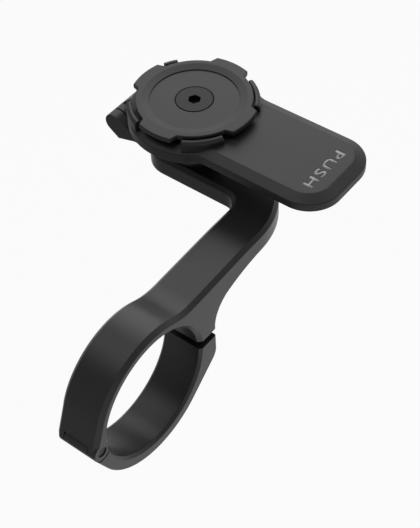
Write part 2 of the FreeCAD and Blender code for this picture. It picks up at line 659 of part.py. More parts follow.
def push_lever():
    """The sprung lever: paddle and flange, catch tabs, and a leg down to the hinge."""
    centre = point(BARREL_X, BARREL_Z)
    rim = point(HEAD_X - FLANGE_RADIUS + OVERLAP, LEVER_RIM - OVERLAP)
    inside = point(HEAD_X - LEG_FOOT, FLANGE_BOTTOM + OVERLAP)
    left = tangent_point(rim, centre, BARREL_RADIUS, 1)
    right = tangent_point(inside, centre, BARREL_RADIUS, -1)
    leg = [
        line(right, inside),
        line(inside, rim),
        line(rim, left),
        arc_between(left, right, centre, BARREL_RADIUS),
    ]
    half = TONGUE_HALF_WIDTH - LUG_WIDTH - LUG_SIDE_GAP
    solid = lever_plate().fuse(catch_tabs())
    solid = solid.fuse(across(leg, -LEG_WIDTH / 2, LEG_WIDTH / 2))
    solid = solid.fuse(barrel(BARREL_RADIUS, -half, half)).removeSplitter()
    solid = solid.cut(barrel(LEVER_PIN_DIAMETER / 2 + LEVER_PIN_FIT, -half, half))
    solid = solid.cut(upright(LEVER_HOLE_RADIUS, HEAD_X, HEAD_Y, FLANGE_BOTTOM, LEVER_TOP))
    pocket = SPRING_RADIUS + SPRING_WIRE / 2 + SPRING_POCKET_GAP
    return solid.cut(upright(pocket, HEAD_X, HEAD_Y, FLANGE_BOTTOM, SPRING_POCKET_TOP))


def return_spring():
    """The coil spring between the foot of the base and the pocket under the lever."""
    bottom = FOOT_TOP + SPRING_WIRE / 2
    height = SPRING_POCKET_TOP - FOOT_TOP - SPRING_WIRE
    corner = SPRING_WIRE / 2 / math.cos(math.pi / SPRING_SIDES)
    turns = [90 + 360 * (i + 0.5) / SPRING_SIDES for i in range(SPRING_SIDES)]
    corners = [on_circle(ORIGIN, corner, turn) for turn in turns]
    wire = Part.Wire(polygon(*corners)).transformed(FreeCAD.Placement(ORIGIN, FRONT).toMatrix())
    count = round(SPRING_TURNS * SPRING_STEPS)
    sections = []
    for i in range(count + 1):
        section = wire.copy()
        section.translate(FreeCAD.Vector(SPRING_RADIUS, 0, bottom + height * i / count))
        section.rotate(ORIGIN, ALONG_Z, 360 * SPRING_TURNS * i / count)
        section.translate(point(HEAD_X, HEAD_Y))
        sections.append(section)
    return Part.makeLoft(sections, True, True)


PIECES = {
    "arm": arm,
    "lower_clamp": lower_clamp,
    "clamp_hinge_pin": clamp_hinge_pin,
    "clamp_bolt": clamp_bolt,
    "bolt_washer": bolt_washer,
    "head_base": head_base,
    "locking_disc": locking_disc,
    "disc_screw": disc_screw,
    "push_lever": push_lever,
    "lever_hinge_pin": lever_hinge_pin,
    "return_spring": return_spring,
}

os.makedirs("parts", exist_ok=True)
for name, make in PIECES.items():
    make().exportStep("parts/" + name + ".step")
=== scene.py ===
"""Looks of a handlebar phone mount: rounded edges, finishes, the word on the lever and a studio."""

import json
import math

import bmesh
import bpy
from bpy.props import FloatProperty, FloatVectorProperty, PointerProperty, StringProperty
from mathutils import Matrix, Quaternion, Vector
from mathutils.bvhtree import BVHTree
from mathutils.geometry import intersect_point_line

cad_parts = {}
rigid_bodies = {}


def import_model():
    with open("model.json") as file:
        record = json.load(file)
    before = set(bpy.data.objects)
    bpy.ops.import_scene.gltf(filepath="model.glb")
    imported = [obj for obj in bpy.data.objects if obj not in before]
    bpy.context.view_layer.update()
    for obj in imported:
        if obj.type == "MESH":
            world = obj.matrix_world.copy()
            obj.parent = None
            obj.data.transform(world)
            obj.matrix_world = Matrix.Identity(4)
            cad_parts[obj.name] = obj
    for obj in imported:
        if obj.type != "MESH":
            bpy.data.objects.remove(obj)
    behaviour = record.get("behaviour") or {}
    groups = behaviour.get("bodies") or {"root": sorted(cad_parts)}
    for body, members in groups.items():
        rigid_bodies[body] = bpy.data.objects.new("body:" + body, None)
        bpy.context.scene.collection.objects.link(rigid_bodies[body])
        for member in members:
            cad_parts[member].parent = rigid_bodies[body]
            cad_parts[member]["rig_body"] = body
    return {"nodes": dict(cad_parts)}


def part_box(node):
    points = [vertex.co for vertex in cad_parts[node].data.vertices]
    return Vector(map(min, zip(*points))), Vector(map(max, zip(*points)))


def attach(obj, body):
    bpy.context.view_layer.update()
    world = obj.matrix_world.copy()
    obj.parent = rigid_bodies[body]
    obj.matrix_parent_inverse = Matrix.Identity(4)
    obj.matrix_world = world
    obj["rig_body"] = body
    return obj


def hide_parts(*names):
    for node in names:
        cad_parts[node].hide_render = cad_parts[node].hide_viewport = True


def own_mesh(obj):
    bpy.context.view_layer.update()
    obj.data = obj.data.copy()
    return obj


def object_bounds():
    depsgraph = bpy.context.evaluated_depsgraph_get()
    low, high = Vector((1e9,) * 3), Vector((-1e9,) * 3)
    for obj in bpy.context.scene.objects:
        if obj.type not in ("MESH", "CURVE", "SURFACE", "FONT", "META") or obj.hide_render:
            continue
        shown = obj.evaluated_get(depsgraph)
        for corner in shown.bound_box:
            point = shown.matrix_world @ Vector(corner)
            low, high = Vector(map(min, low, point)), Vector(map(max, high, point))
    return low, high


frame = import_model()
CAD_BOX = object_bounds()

bl_info = {
    "name": "Handlebar Phone Mount",
    "version": (1, 0, 0),
    "blender": (4, 5, 0),
    "location": "3D View > Sidebar > Phone Mount",
    "description": "Rounds, finishes and lights the parts of a handlebar phone mount",
    "category": "Object",
}

MM = 0.001

# Corners of the parts that the other pieces are placed by
DISC_LOW, DISC_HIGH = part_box("locking_disc")
LEVER_LOW, LEVER_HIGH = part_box("push_lever")
BOLT_LOW, BOLT_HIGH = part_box("clamp_bolt")
SPRING_LOW, SPRING_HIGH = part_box("return_spring")
HEAD_AXIS = Vector(((DISC_LOW.x + DISC_HIGH.x) / 2, (DISC_LOW.y + DISC_HIGH.y) / 2, 0))
BOLT_AXIS = Vector(((BOLT_LOW.x + BOLT_HIGH.x) / 2, (BOLT_LOW.y + BOLT_HIGH.y) / 2, 0))

# The lever's flat top: how far beyond the disc it is bare, its level, and how near it edges are its own
PADDLE_GAP = 10 * MM
LEVER_TOP = max(vert.co.z for vert in frame["nodes"]["push_lever"].data.vertices
                if vert.co.x > DISC_HIGH.x + PADDLE_GAP)
TOP_MARGIN = 0.2 * MM

# When a copy counts corners as one, in parts and in letters, faces as slivers or as one flat face, and
# two surfaces as an edge
MERGE_DISTANCE = 0.02 * MM
LETTER_MERGE = 0.002 * MM
SLIVER_WIDTH = 0.001 * MM
FLAT_ANGLE = math.radians(0.5)
EDGE_ANGLE = math.radians(8)

# How edges are rounded: rows of new faces, how near a surface's normal has to be for a new face to take
# it, trials that leave tight edges sharp, and how far round a crossing they do so, in widths per trial
ROUND_STEPS = 3
SOFT_ANGLE = math.radians(35)
TRIALS = 5
ROOM = 1.5
NORMALS = "surface_normal"

# How finely the spring and the floor are drawn
STEPS_PER_TURN = 36
WIRE_SIDES = 14
FLOOR_SIDES = 96

# Black satin: size of its clouds, of its speckle in grains, and the width, share and tone of the painted
# highlight on its edges, and their polish
CLOUD_SIZE = 9 * MM
SPECKLE = 2.7
EDGE_WIDTH = 0.25 * MM
EDGE_HIGHLIGHT_SHARE = 0.5
EDGE_HIGHLIGHT_TONE = 1.7
EDGE_POLISH = 0.04

# How much the roughness varies with clouds and speckle, turning rings, draw marks and the letters' grain
CLOUD_TRACE = 0.06
RING_TRACE = 0.04
DRAW_TRACE = 0.12
FILL_TRACE = 0.1

# Scale of the wave texture that makes the turning rings, about 3.5 to the millimetre
RING_SCALE = 1100.0

# Where the studio's tone changes: by height from the shaded floor to the dim side, by side from there to
# white, and by height from the walls to the ceiling. The grey side, the shaded floor and the darker
# ceiling are painted shade in the glow that only the camera and reflections see
SHADE_HEIGHTS = (-0.65, -0.40)
WHITE_SIDES = (-0.62, -0.32)
CEILING_HEIGHTS = (0.25, 0.60)


class FinishSettings(bpy.types.PropertyGroup):
    """Colours and sheen of the materials"""
    alloy_color: FloatVectorProperty(
        name="Anodised alloy", description="Colour of the arm and the clamp",
        subtype="COLOR", size=3, min=0, max=1, default=(0.034, 0.034, 0.035))
    alloy_roughness: FloatProperty(
        name="Alloy roughness", description="Satin of the blasted and anodised alloy",
        subtype="FACTOR", min=0, max=1, default=0.37)
    alloy_gloss: FloatProperty(
        name="Alloy gloss", description="Strength of the alloy's reflections",
        subtype="FACTOR", min=0, max=1, default=0.38)
    plastic_color: FloatVectorProperty(
        name="Moulded plastic", description="Colour of the lever, the disc and the base",
        subtype="COLOR", size=3, min=0, max=1, default=(0.040, 0.040, 0.041))
    plastic_roughness: FloatProperty(
        name="Plastic roughness", description="Satin of the moulded plastic",
        subtype="FACTOR", min=0, max=1, default=0.46)
    plastic_gloss: FloatProperty(
        name="Plastic gloss", description="Strength of the plastic's reflections",
        subtype="FACTOR", min=0, max=1, default=0.32)
    steel_color: FloatVectorProperty(
        name="Blackened steel", description="Colour of the screw, the bolt, the washer and the pins",
        subtype="COLOR", size=3, min=0, max=1, default=(0.020, 0.020, 0.021))
    steel_roughness: FloatProperty(
        name="Steel roughness", description="Satin of the blackened steel",
        subtype="FACTOR", min=0, max=1, default=0.40)
    steel_gloss: FloatProperty(
        name="Steel gloss", description="Strength of the steel's reflections",
        subtype="FACTOR", min=0, max=1, default=0.2)
    wire_color: FloatVectorProperty(
        name="Spring wire", description="Colour of the return spring",
        subtype="COLOR", size=3, min=0, max=1, default=(0.33, 0.33, 0.34))
    wire_roughness: FloatProperty(
        name="Wire roughness", description="Least roughness of the spring wire",
        subtype="FACTOR", min=0, max=1, default=0.30)
    print_color: FloatVectorProperty(
        name="Letter fill", description="Colour of the filled letters on the lever",
        subtype="COLOR", size=3, min=0, max=1, default=(0.62, 0.62, 0.625))
    print_roughness: FloatProperty(
        name="Fill roughness", description="Least roughness of the letters' fill",
        subtype="FACTOR", min=0, max=1, default=0.55)
    print_gloss: FloatProperty(
        name="Fill gloss", description="Strength of the fill's reflections",
        subtype="FACTOR", min=0, max=1, default=0.3)


class EdgeSettings(bpy.types.PropertyGroup):
    """Rounding of the parts' edges"""
    alloy_round: FloatProperty(
        name="Alloy edges", description="Width of the broken edges of the machined parts",
        unit="LENGTH", min=0, default=0.10 * MM)
    plastic_round: FloatProperty(
        name="Plastic edges", description="Width of the rounded edges of the base and the disc",
        unit="LENGTH", min=0, default=0.07 * MM)
    lever_round: FloatProperty(
        name="Lever edges", description="Width of the rounded edges of the push lever",
        unit="LENGTH", min=0, default=0.24 * MM)
    tab_round: FloatProperty(
        name="Tab edges", description="Width of the rounded edges of the lever's catch tabs",
        unit="LENGTH", min=0, default=0.30 * MM)
    steel_round: FloatProperty(
        name="Steel edges", description="Width of the rounded edges of the turned parts",
        unit="LENGTH", min=0, default=0.10 * MM)


class SpringSettings(bpy.types.PropertyGroup):
    """The return spring under the lever"""
    wire: FloatProperty(
        name="Wire", description="Diameter of the spring's wire", unit="LENGTH", min=0, default=1.0 * MM)
    turns: FloatProperty(
        name="Turns", description="Turns of the spring, in half turns", min=1, default=4.5)
    travel: FloatProperty(
        name="Lever travel", description="How far the lever turns when it is pushed down", subtype="ANGLE",
        min=0, default=math.radians(5))


class WordSettings(bpy.types.PropertyGroup):
    """The word engraved near the tip of the lever"""
    word: StringProperty(
        name="Word", description="Operating word on the lever", default="PUSH")
    cap_height: FloatProperty(
        name="Letter height", description="Height of the capital letters",
        unit="LENGTH", min=0, default=2.95 * MM)
    length: FloatProperty(
        name="Word length", description="Length of the word across the lever",
        unit="LENGTH", min=0, default=15.0 * MM)
    tip_gap: FloatProperty(
        name="Gap to the tip", description="From the top of the letters to the lever's tip",
        unit="LENGTH", min=0, default=5.95 * MM)
    shift: FloatProperty(
        name="Sideways shift", description="From the lever's middle line to the word's middle",
        unit="LENGTH", default=-0.32 * MM)
    stroke: FloatProperty(
        name="Stroke gain", description="How far strokes are widened on both sides, in sizes of the font",
        min=0, default=0.031)
    spacing: FloatProperty(
        name="Letter spacing", description="Spacing of the letters, where 1 is the font's own",
        min=0, default=1.2)
    depth: FloatProperty(
        name="Engraving depth", description="Depth of the letters below the lever's top",
        unit="LENGTH", min=0, default=0.30 * MM)
    fill_gap: FloatProperty(
        name="Fill below the top", description="From the lever's top down to the fill of the letters",
        unit="LENGTH", min=0, default=0.12 * MM)


class StageSettings(bpy.types.PropertyGroup):
    """Floor, camera and light of the studio"""
    floor_color: FloatVectorProperty(
        name="Floor", description="Colour of the floor", subtype="COLOR", size=3, min=0, max=1,
        default=(0.80, 0.80, 0.80))
    floor_radius: FloatProperty(
        name="Floor radius", description="Radius of the round floor", unit="LENGTH", min=0.1, default=3.0)
    bright_side: FloatVectorProperty(
        name="Bright side", description="Direction in which the studio is white", subtype="XYZ", size=3,
        default=(0.77, 0.64, 0))
    dim_color: FloatVectorProperty(
        name="Dim side", description="Colour of the studio on its other side", subtype="COLOR", size=3,
        min=0, max=1, default=(0.50, 0.50, 0.50))
    shade_color: FloatVectorProperty(
        name="Shaded floor", description="Colour of the floor below the dim side", subtype="COLOR", size=3,
        min=0, max=1, default=(0.28, 0.28, 0.28))
    ceiling_color: FloatVectorProperty(
        name="Ceiling", description="Colour of the studio overhead", subtype="COLOR", size=3,
        min=0, max=1, default=(0.25, 0.25, 0.25))
    floor_drop: FloatProperty(
        name="Floor drop", description="From the mount's lowest point down to the floor",
        unit="LENGTH", min=0, default=0.45)
    floor_glow: FloatProperty(
        name="Floor glow", description="Share of the studio's own tone in the look of the floor",
        subtype="FACTOR", min=0, max=1, default=0.95)
    wall_glow: FloatProperty(
        name="Wall glow", description="Strength of the studio's own tone in the look of the walls",
        min=0, default=0.96)
    world_color: FloatVectorProperty(
        name="Room", description="Dim light of the room round the studio", subtype="COLOR", size=3,
        min=0, max=1, default=(0.03, 0.03, 0.03))
    light_distance: FloatProperty(
        name="Light distance", description="From the camera's target to each softbox",
        unit="LENGTH", min=0, default=0.75)
    key_power: FloatProperty(
        name="Key light", description="Power of the softbox behind and to the left, in watts",
        min=0, default=2.2)
    key_size: FloatProperty(
        name="Key size", description="Side of the key light's square", unit="LENGTH", min=0, default=0.55)
    key_direction: FloatVectorProperty(
        name="Key direction", description="From the target to the key light", subtype="XYZ", size=3,
        default=(-0.43, 0.62, 0.66))
    top_power: FloatProperty(
        name="Top light", description="Power of the weaker softbox overhead, in watts", min=0, default=1.1)
    top_size: FloatProperty(
        name="Top size", description="Side of the top light's square", unit="LENGTH", min=0, default=0.50)
    top_direction: FloatVectorProperty(
        name="Top direction", description="From the target to the top light", subtype="XYZ", size=3,
        default=(-0.32, -0.18, 0.93))
    side_power: FloatProperty(
        name="Side light", description="Power of the weak softbox behind and to the right, in watts",
        min=0, default=0.54)
    side_size: FloatProperty(
        name="Side size", description="Side of the side light's square",
        unit="LENGTH", min=0, default=0.45)
    side_direction: FloatVectorProperty(
        name="Side direction", description="From the target to the side light", subtype="XYZ", size=3,
        default=(0.30, 0.50, 0.81))
    camera_place: FloatVectorProperty(
        name="Camera", description="Where the camera stands", subtype="XYZ", unit="LENGTH", size=3,
        default=(133.28 * MM, -129.18 * MM, 243.13 * MM))
    camera_target: FloatVectorProperty(
        name="Target", description="The point that the camera looks at", subtype="XYZ", unit="LENGTH",
        size=3, default=(2.43 * MM, 27.37 * MM, 20.0 * MM))
    camera_roll: FloatProperty(
        name="Roll", description="Turn of the camera about its own axis", subtype="ANGLE",
        default=math.radians(-3.15))
    camera_lens: FloatProperty(
        name="Lens", description="Focal length in millimetres on a 36 mm sensor", min=1, default=84.7)


class Wire:
    """A socket of a node tree. Arithmetic on it adds Math nodes."""

    def __init__(self, tree, socket=None):
        self.tree = tree
        self.socket = socket

    def node(self, kind, settings=None, sockets=None, output=0):
        """Adds a node: its settings first, then the values or links of its sockets."""
        made = self.tree.nodes.new(kind)
        for name, value in (settings or {}).items():
            setattr(made, name, value)
        for name, value in (sockets or {}).items():
            if isinstance(value, Wire):
                self.tree.links.new(value.socket, made.inputs[name])
            else:
                made.inputs[name].default_value = value
        return Wire(self.tree, made.outputs[output] if made.outputs else None)

    def maths(self, operation, first, second):
        return self.node("ShaderNodeMath", {"operation": operation}, {0: first, 1: second})

    def __add__(self, other):
        return self.maths("ADD", self, other)

    def __radd__(self, other):
        return self.maths("ADD", other, self)

    def __sub__(self, other):
        return self.maths("SUBTRACT", self, other)

    def __rsub__(self, other):
        return self.maths("SUBTRACT", other, self)

    def __mul__(self, other):
        return self.maths("MULTIPLY", self, other)

    def __rmul__(self, other):
        return self.maths("MULTIPLY", other, self)


def mixed(factor, first, second):
    """A colour between two others. A Mix node has its colours at inputs 6 and 7 and at output 2."""
    settings = {"data_type": "RGBA"}
    return factor.node("ShaderNodeMix", settings, {0: factor, 6: first, 7: second}, output=2)


def tone(color, share):
    """A colour made lighter or darker by a share, with full alpha."""
    return (color[0] * share, color[1] * share, color[2] * share, 1)


def varied(factor, color, spread):
    """A colour that goes from a share darker to a share lighter."""
    return mixed(factor, tone(color, 1 - spread), tone(color, 1 + spread))


def blend(first, second, share):
    """Two values in one, with a share of the second."""
    return first * (1 - share) + second * share


def grain(wire, coordinates, size, detail=2.0):
    """Noise from 0 to 1 whose lumps have about the given size."""
    sockets = {"Vector": coordinates, "Scale": 1 / size, "Detail": detail, "Roughness": 0.55}
    return wire.node("ShaderNodeTexNoise", None, sockets)


def edge_mask(wire, width):
    """From 0 on a face to about 1 on a convex or concave edge of that width."""
    soft = wire.node("ShaderNodeBevel", {"samples": 6}, {"Radius": width})
    true = wire.node("ShaderNodeNewGeometry", output="True Normal")
    match = wire.node("ShaderNodeVectorMath", {"operation": "DOT_PRODUCT"}, {0: soft, 1: true},
                      output="Value")
    return wire.node("ShaderNodeMapRange", {"clamp": True},
                     {"Value": match, "From Min": 1.0, "From Max": 0.9, "To Min": 0.0, "To Max": 1.0})


def finish(name, constants):
    """A new material, a wire for adding nodes to it, and its shader with the constant sockets set."""
    material = bpy.data.materials.new(name)
    material.use_nodes = True
    shader = material.node_tree.nodes["Principled BSDF"]
    for socket, value in constants.items():
        shader.inputs[socket].default_value = value
    return material, Wire(material.node_tree), shader


def feed(wire, shader, color, roughness, height, relief):
    """Links the varying colour, roughness and bump height of a surface to its shader."""
    bump = wire.node("ShaderNodeBump", None, {"Strength": 1.0, "Distance": relief, "Height": height})
    for socket, source in (("Base Color", color), ("Roughness", roughness), ("Normal", bump)):
        wire.tree.links.new(source.socket, shader.inputs[socket])


def satin_black(name, color, roughness, gloss, cell, relief):
    """Black satin with cloudy tone, a fine blasted or moulded grain and edges made slightly lighter by a
    painted highlight.
    """
    material, wire, shader = finish(name, {"Specular IOR Level": gloss})
    place = wire.node("ShaderNodeTexCoord", output="Object")
    clouds = grain(wire, place, CLOUD_SIZE, detail=4)
    fine = grain(wire, place, cell)
    speckle = grain(wire, place, cell * SPECKLE)
    edges = edge_mask(wire, EDGE_WIDTH)
    body = varied(blend(clouds, speckle, share=0.3), color, spread=0.12)
    # Painted highlight: edges found by the bevel mask get a lighter colour
    painted_edge_highlight = mixed(edges * EDGE_HIGHLIGHT_SHARE, body, tone(color, EDGE_HIGHLIGHT_TONE))
    dull = roughness - CLOUD_TRACE + clouds * CLOUD_TRACE + speckle * CLOUD_TRACE - edges * EDGE_POLISH
    feed(wire, shader, painted_edge_highlight, dull, blend(fine, speckle, share=0.4), relief)
    return material


def anodised_alloy(settings):
    """Blasted aluminium under black anodising."""
    return satin_black("anodised_alloy", settings.alloy_color, settings.alloy_roughness,
                       settings.alloy_gloss, cell=0.16 * MM, relief=0.008 * MM)


def moulded_plastic(name, settings):
    """Glass-filled plastic with the fine spark texture of its mould."""
    return satin_black(name, settings.plastic_color, settings.plastic_roughness,
                       settings.plastic_gloss, cell=0.22 * MM, relief=0.010 * MM)


def turned_steel(name, settings, axis):
    """Blackened steel with fine turning rings round an upright axis."""
    material, wire, shader = finish(name, {"Specular IOR Level": settings.steel_gloss})
    place = wire.node("ShaderNodeTexCoord", output="Object")
    offset = wire.node("ShaderNodeMapping", None, {"Vector": place, "Location": -axis})
    rings = wire.node("ShaderNodeTexWave", {"wave_type": "RINGS", "rings_direction": "Z"},
                      {"Vector": offset, "Scale": RING_SCALE, "Distortion": 0.6, "Detail": 2.0})
    clouds = grain(wire, place, size=1.6 * MM, detail=3)
    fine = grain(wire, place, size=0.12 * MM)
    color = varied(clouds, settings.steel_color, spread=0.15)
    smooth = settings.steel_roughness - (CLOUD_TRACE + RING_TRACE) / 2
    dull = smooth + clouds * CLOUD_TRACE + rings * RING_TRACE
    feed(wire, shader, color, dull, blend(rings, fine, share=0.5), relief=0.004 * MM)
    return material


def drawn_wire(settings):
    """Bright drawn spring wire with faint draw marks."""
    material, wire, shader = finish("drawn_wire", {"Metallic": 1.0})
    place = wire.node("ShaderNodeTexCoord", output="Object")
    stretched = wire.node("ShaderNodeMapping", None, {"Vector": place, "Scale": (1, 1, 9)})
    streaks = grain(wire, stretched, size=0.9 * MM, detail=3)
    color = varied(streaks, settings.wire_color, spread=0.2)
    dull = settings.wire_roughness + streaks * DRAW_TRACE
    feed(wire, shader, color, dull, streaks, relief=0.004 * MM)
    return material


def letter_fill(settings):
    """Matt paint rubbed into the engraved letters."""
    material, wire, shader = finish("letter_fill", {"Specular IOR Level": settings.print_gloss})
    place = wire.node("ShaderNodeTexCoord", output="Object")
    clouds = grain(wire, place, size=0.5 * MM, detail=3)
    fine = grain(wire, place, size=0.1 * MM)
    color = varied(clouds, settings.print_color, spread=0.15)
    dull = settings.print_roughness + fine * FILL_TRACE
    feed(wire, shader, color, dull, fine, relief=0.006 * MM)
    return material


def new_piece(name, shape, body, material):
    """An object from a bmesh, riding on a body, with its finish."""
    mesh = bpy.data.meshes.new(name)
    shape.to_mesh(mesh)
    shape.free()
    mesh.materials.append(material)
    piece = bpy.data.objects.new(name, mesh)
    bpy.context.scene.collection.objects.link(piece)
    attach(piece, body)
    return piece


def body_of(node):
    """The body that carries a CAD node."""
    return frame["nodes"][node]["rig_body"]


def meeting_angle(edge, normals):
    """How far the surfaces on the two sides of an edge turn away from each other, at its flatter end."""
    one, two = edge.link_loops
    start = one[normals].angle(two.link_loop_next[normals], 0)
    end = one.link_loop_next[normals].angle(two[normals], 0)
    return min(start, end)


def bevelled(shape, edges, width):
    """Rounds edges and gives the new faces along them."""
    made = bmesh.ops.bevel(shape, geom=edges, offset=width, offset_type="OFFSET", affect="EDGES",
                           segments=ROUND_STEPS, profile=0.5, material=-1)
    return made["faces"]


def crossings(shape):
    """The middles of a shape's triangles that cut through each other."""
    cut = shape.copy()
    bmesh.ops.triangulate(cut, faces=cut.faces)
    cut.faces.ensure_lookup_table()
    tree = BVHTree.FromBMesh(cut, epsilon=0)
    spots = []
    for one, two in tree.overlap(tree):
        if not set(cut.faces[one].verts) & set(cut.faces[two].verts):
            spots.append(cut.faces[one].calc_center_median())
    cut.free()
    return spots


def distance(edge, spot):
    """How far a point lies from an edge."""
    start, end = [vert.co for vert in edge.verts]
    share = intersect_point_line(spot, start, end)[1]
    return (start.lerp(end, min(max(share, 0), 1)) - spot).length


def roomy_edges(shape, edges, width):
    """The edges that can be rounded without faces that cross. Tight spots keep their sharp edges."""
    shape.edges.index_update()
    for trial in range(1, TRIALS + 1):
        rounded = shape.copy()
        rounded.edges.ensure_lookup_table()
        bevelled(rounded, [rounded.edges[edge.index] for edge in edges], width)
        spots = crossings(rounded)
        rounded.free()
        if not spots:
            break
        reach = ROOM * trial * width
        edges = [edge for edge in edges if min(distance(edge, spot) for spot in spots) > reach]
    return edges


def round_edges(shape, normals, edges, width):
    """Rounds edges that have room, and gives the new faces the normals of the surfaces beside them."""
    rounds = set(bevelled(shape, roomy_edges(shape, edges, width), width))
    shape.normal_update()
    for vert in shape.verts:
        flat = [loop[normals].copy() for loop in vert.link_loops if loop.face not in rounds]
        between = sum((face.normal for face in vert.link_faces if face in rounds), Vector())
        for loop in vert.link_loops:
            if loop.face in rounds:
                near = [normal for normal in flat
                        if normal.angle(loop.face.normal, math.pi) < SOFT_ANGLE]
                loop[normals] = min(near, key=loop.face.normal.angle) if near else between


def every_edge(edge):
    """A test that all edges pass."""
    return True


def reaches_above(level):
    """A test for edges with an end above a level."""
    return lambda edge: max(vert.co.z for vert in edge.verts) > level


def stays_below(level):
    """A test for edges with both ends at or below a level."""
    return lambda edge: max(vert.co.z for vert in edge.verts) <= level


def rounded_copy(node, *passes):
    """A merged copy of a CAD node's mesh with its edges rounded and its surfaces' normals kept.

    The edges are rounded in passes, each a width and a test of the edges that get it.
    """
    mesh = frame["nodes"][node].data
    shape = bmesh.new()
    shape.from_mesh(mesh)
    normals = shape.loops.layers.float_vector.new(NORMALS)
    for face in shape.faces:
        first = mesh.polygons[face.index].loop_start
        for step, loop in enumerate(face.loops):
            loop[normals] = mesh.corner_normals[first + step].vector
    bmesh.ops.remove_doubles(shape, verts=shape.verts, dist=MERGE_DISTANCE)
    bmesh.ops.dissolve_limit(shape, angle_limit=FLAT_ANGLE, verts=shape.verts, edges=shape.edges)

    for width, test in passes:
        shape.normal_update()
        angles = {edge: meeting_angle(edge, normals) for edge in shape.edges if edge.is_convex}
        chosen = [edge for edge, angle in angles.items() if angle > EDGE_ANGLE and test(edge)]
        round_edges(shape, normals, chosen, width)
    bmesh.ops.dissolve_degenerate(shape, dist=SLIVER_WIDTH, edges=shape.edges)
    return shape


def set_normals(mesh):
    """Shades a mesh by the normals kept at its corners, or flat where a face has none."""
    kept = [corner.vector.normalized() for corner in mesh.attributes[NORMALS].data]
    for face in mesh.polygons:
        for corner in face.loop_indices:
            if not kept[corner].length:
                kept[corner] = face.normal
    mesh.attributes.remove(mesh.attributes[NORMALS])
    mesh.normals_split_custom_set(kept)


def dress(node, shape, material):
    """Puts a rounded piece in the place of a CAD node."""
    piece = new_piece(node + "_rounded", shape, body_of(node), material)
    set_normals(piece.data)
    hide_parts(node)


class MOUNT_OT_machined_parts(bpy.types.Operator):
    """Round and finish the arm and the lower half of the clamp"""
    bl_idname = "mount.machined_parts"
    bl_label = "Machined parts"

    def execute(self, context):
        scene = context.scene
        alloy = anodised_alloy(scene.mount_finish)
        for node in ("arm", "lower_clamp"):
            shape = rounded_copy(node, (scene.mount_edges.alloy_round, every_edge))
            dress(node, shape, alloy)
        return {"FINISHED"}


class MOUNT_OT_moulded_parts(bpy.types.Operator):
    """Round and finish the base and the locking disc"""
    bl_idname = "mount.moulded_parts"
    bl_label = "Moulded parts"

    def execute(self, context):
        scene = context.scene
        plastic = moulded_plastic("moulded_plastic", scene.mount_finish)
        for node in ("head_base", "locking_disc"):
            shape = rounded_copy(node, (scene.mount_edges.plastic_round, every_edge))
            dress(node, shape, plastic)
        return {"FINISHED"}


class MOUNT_OT_fasteners(bpy.types.Operator):
    """Round and finish the disc screw, the clamp bolt, its washer and the hinge pins"""
    bl_idname = "mount.fasteners"
    bl_label = "Fasteners"

    def execute(self, context):
        scene = context.scene
        head_steel = turned_steel("head_steel", scene.mount_finish, HEAD_AXIS)
        bolt_steel = turned_steel("bolt_steel", scene.mount_finish, BOLT_AXIS)
        steels = {
            "disc_screw": head_steel,
            "lever_hinge_pin": head_steel,
            "clamp_bolt": bolt_steel,
            "bolt_washer": bolt_steel,
            "clamp_hinge_pin": bolt_steel,
        }
        for node, steel in steels.items():
            shape = rounded_copy(node, (scene.mount_edges.steel_round, every_edge))
            dress(node, shape, steel)
        return {"FINISHED"}


def coil(settings):
    """A closed round wire wound up from the foot of the base into the pocket under the lever.

    The solid that it stands for has a six-sided wire, whose corners reach further out than a round one.
    """
    thick = settings.wire / 2
    bend = (SPRING_HIGH.x - SPRING_LOW.x) / 2 - settings.wire / math.sqrt(3)
    steps = round(settings.turns * STEPS_PER_TURN)
    rise = (SPRING_HIGH.z - SPRING_LOW.z - settings.wire) / steps
    shape = bmesh.new()
    bmesh.ops.create_circle(shape, segments=WIRE_SIDES, radius=thick)
    bmesh.ops.rotate(shape, matrix=Matrix.Rotation(math.radians(90), 3, "X"), verts=shape.verts)
    bmesh.ops.translate(shape, vec=HEAD_AXIS + Vector((bend, 0, SPRING_LOW.z + thick)), verts=shape.verts)
    bmesh.ops.spin(shape, geom=shape.verts[:] + shape.edges[:], cent=HEAD_AXIS, axis=(0, 0, 1),
                   dvec=(0, 0, rise), angle=math.tau * settings.turns, steps=steps, use_merge=False)
    ends = [edge for edge in shape.edges if edge.is_boundary]
    bmesh.ops.holes_fill(shape, edges=ends, sides=0)
    bmesh.ops.recalc_face_normals(shape, faces=shape.faces)
    for face in shape.faces:
        face.smooth = len(face.verts) == 4
    return shape


class MOUNT_OT_return_spring(bpy.types.Operator):
    """Wind the return spring"""
    bl_idname = "mount.return_spring"
    bl_label = "Return spring"

    def execute(self, context):
        scene = context.scene
        settings = scene.mount_spring
        spring = new_piece("return_spring_coil", coil(settings), body_of("return_spring"),
                           drawn_wire(scene.mount_finish))
        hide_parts("return_spring")
        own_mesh(spring)
        return {"FINISHED"}


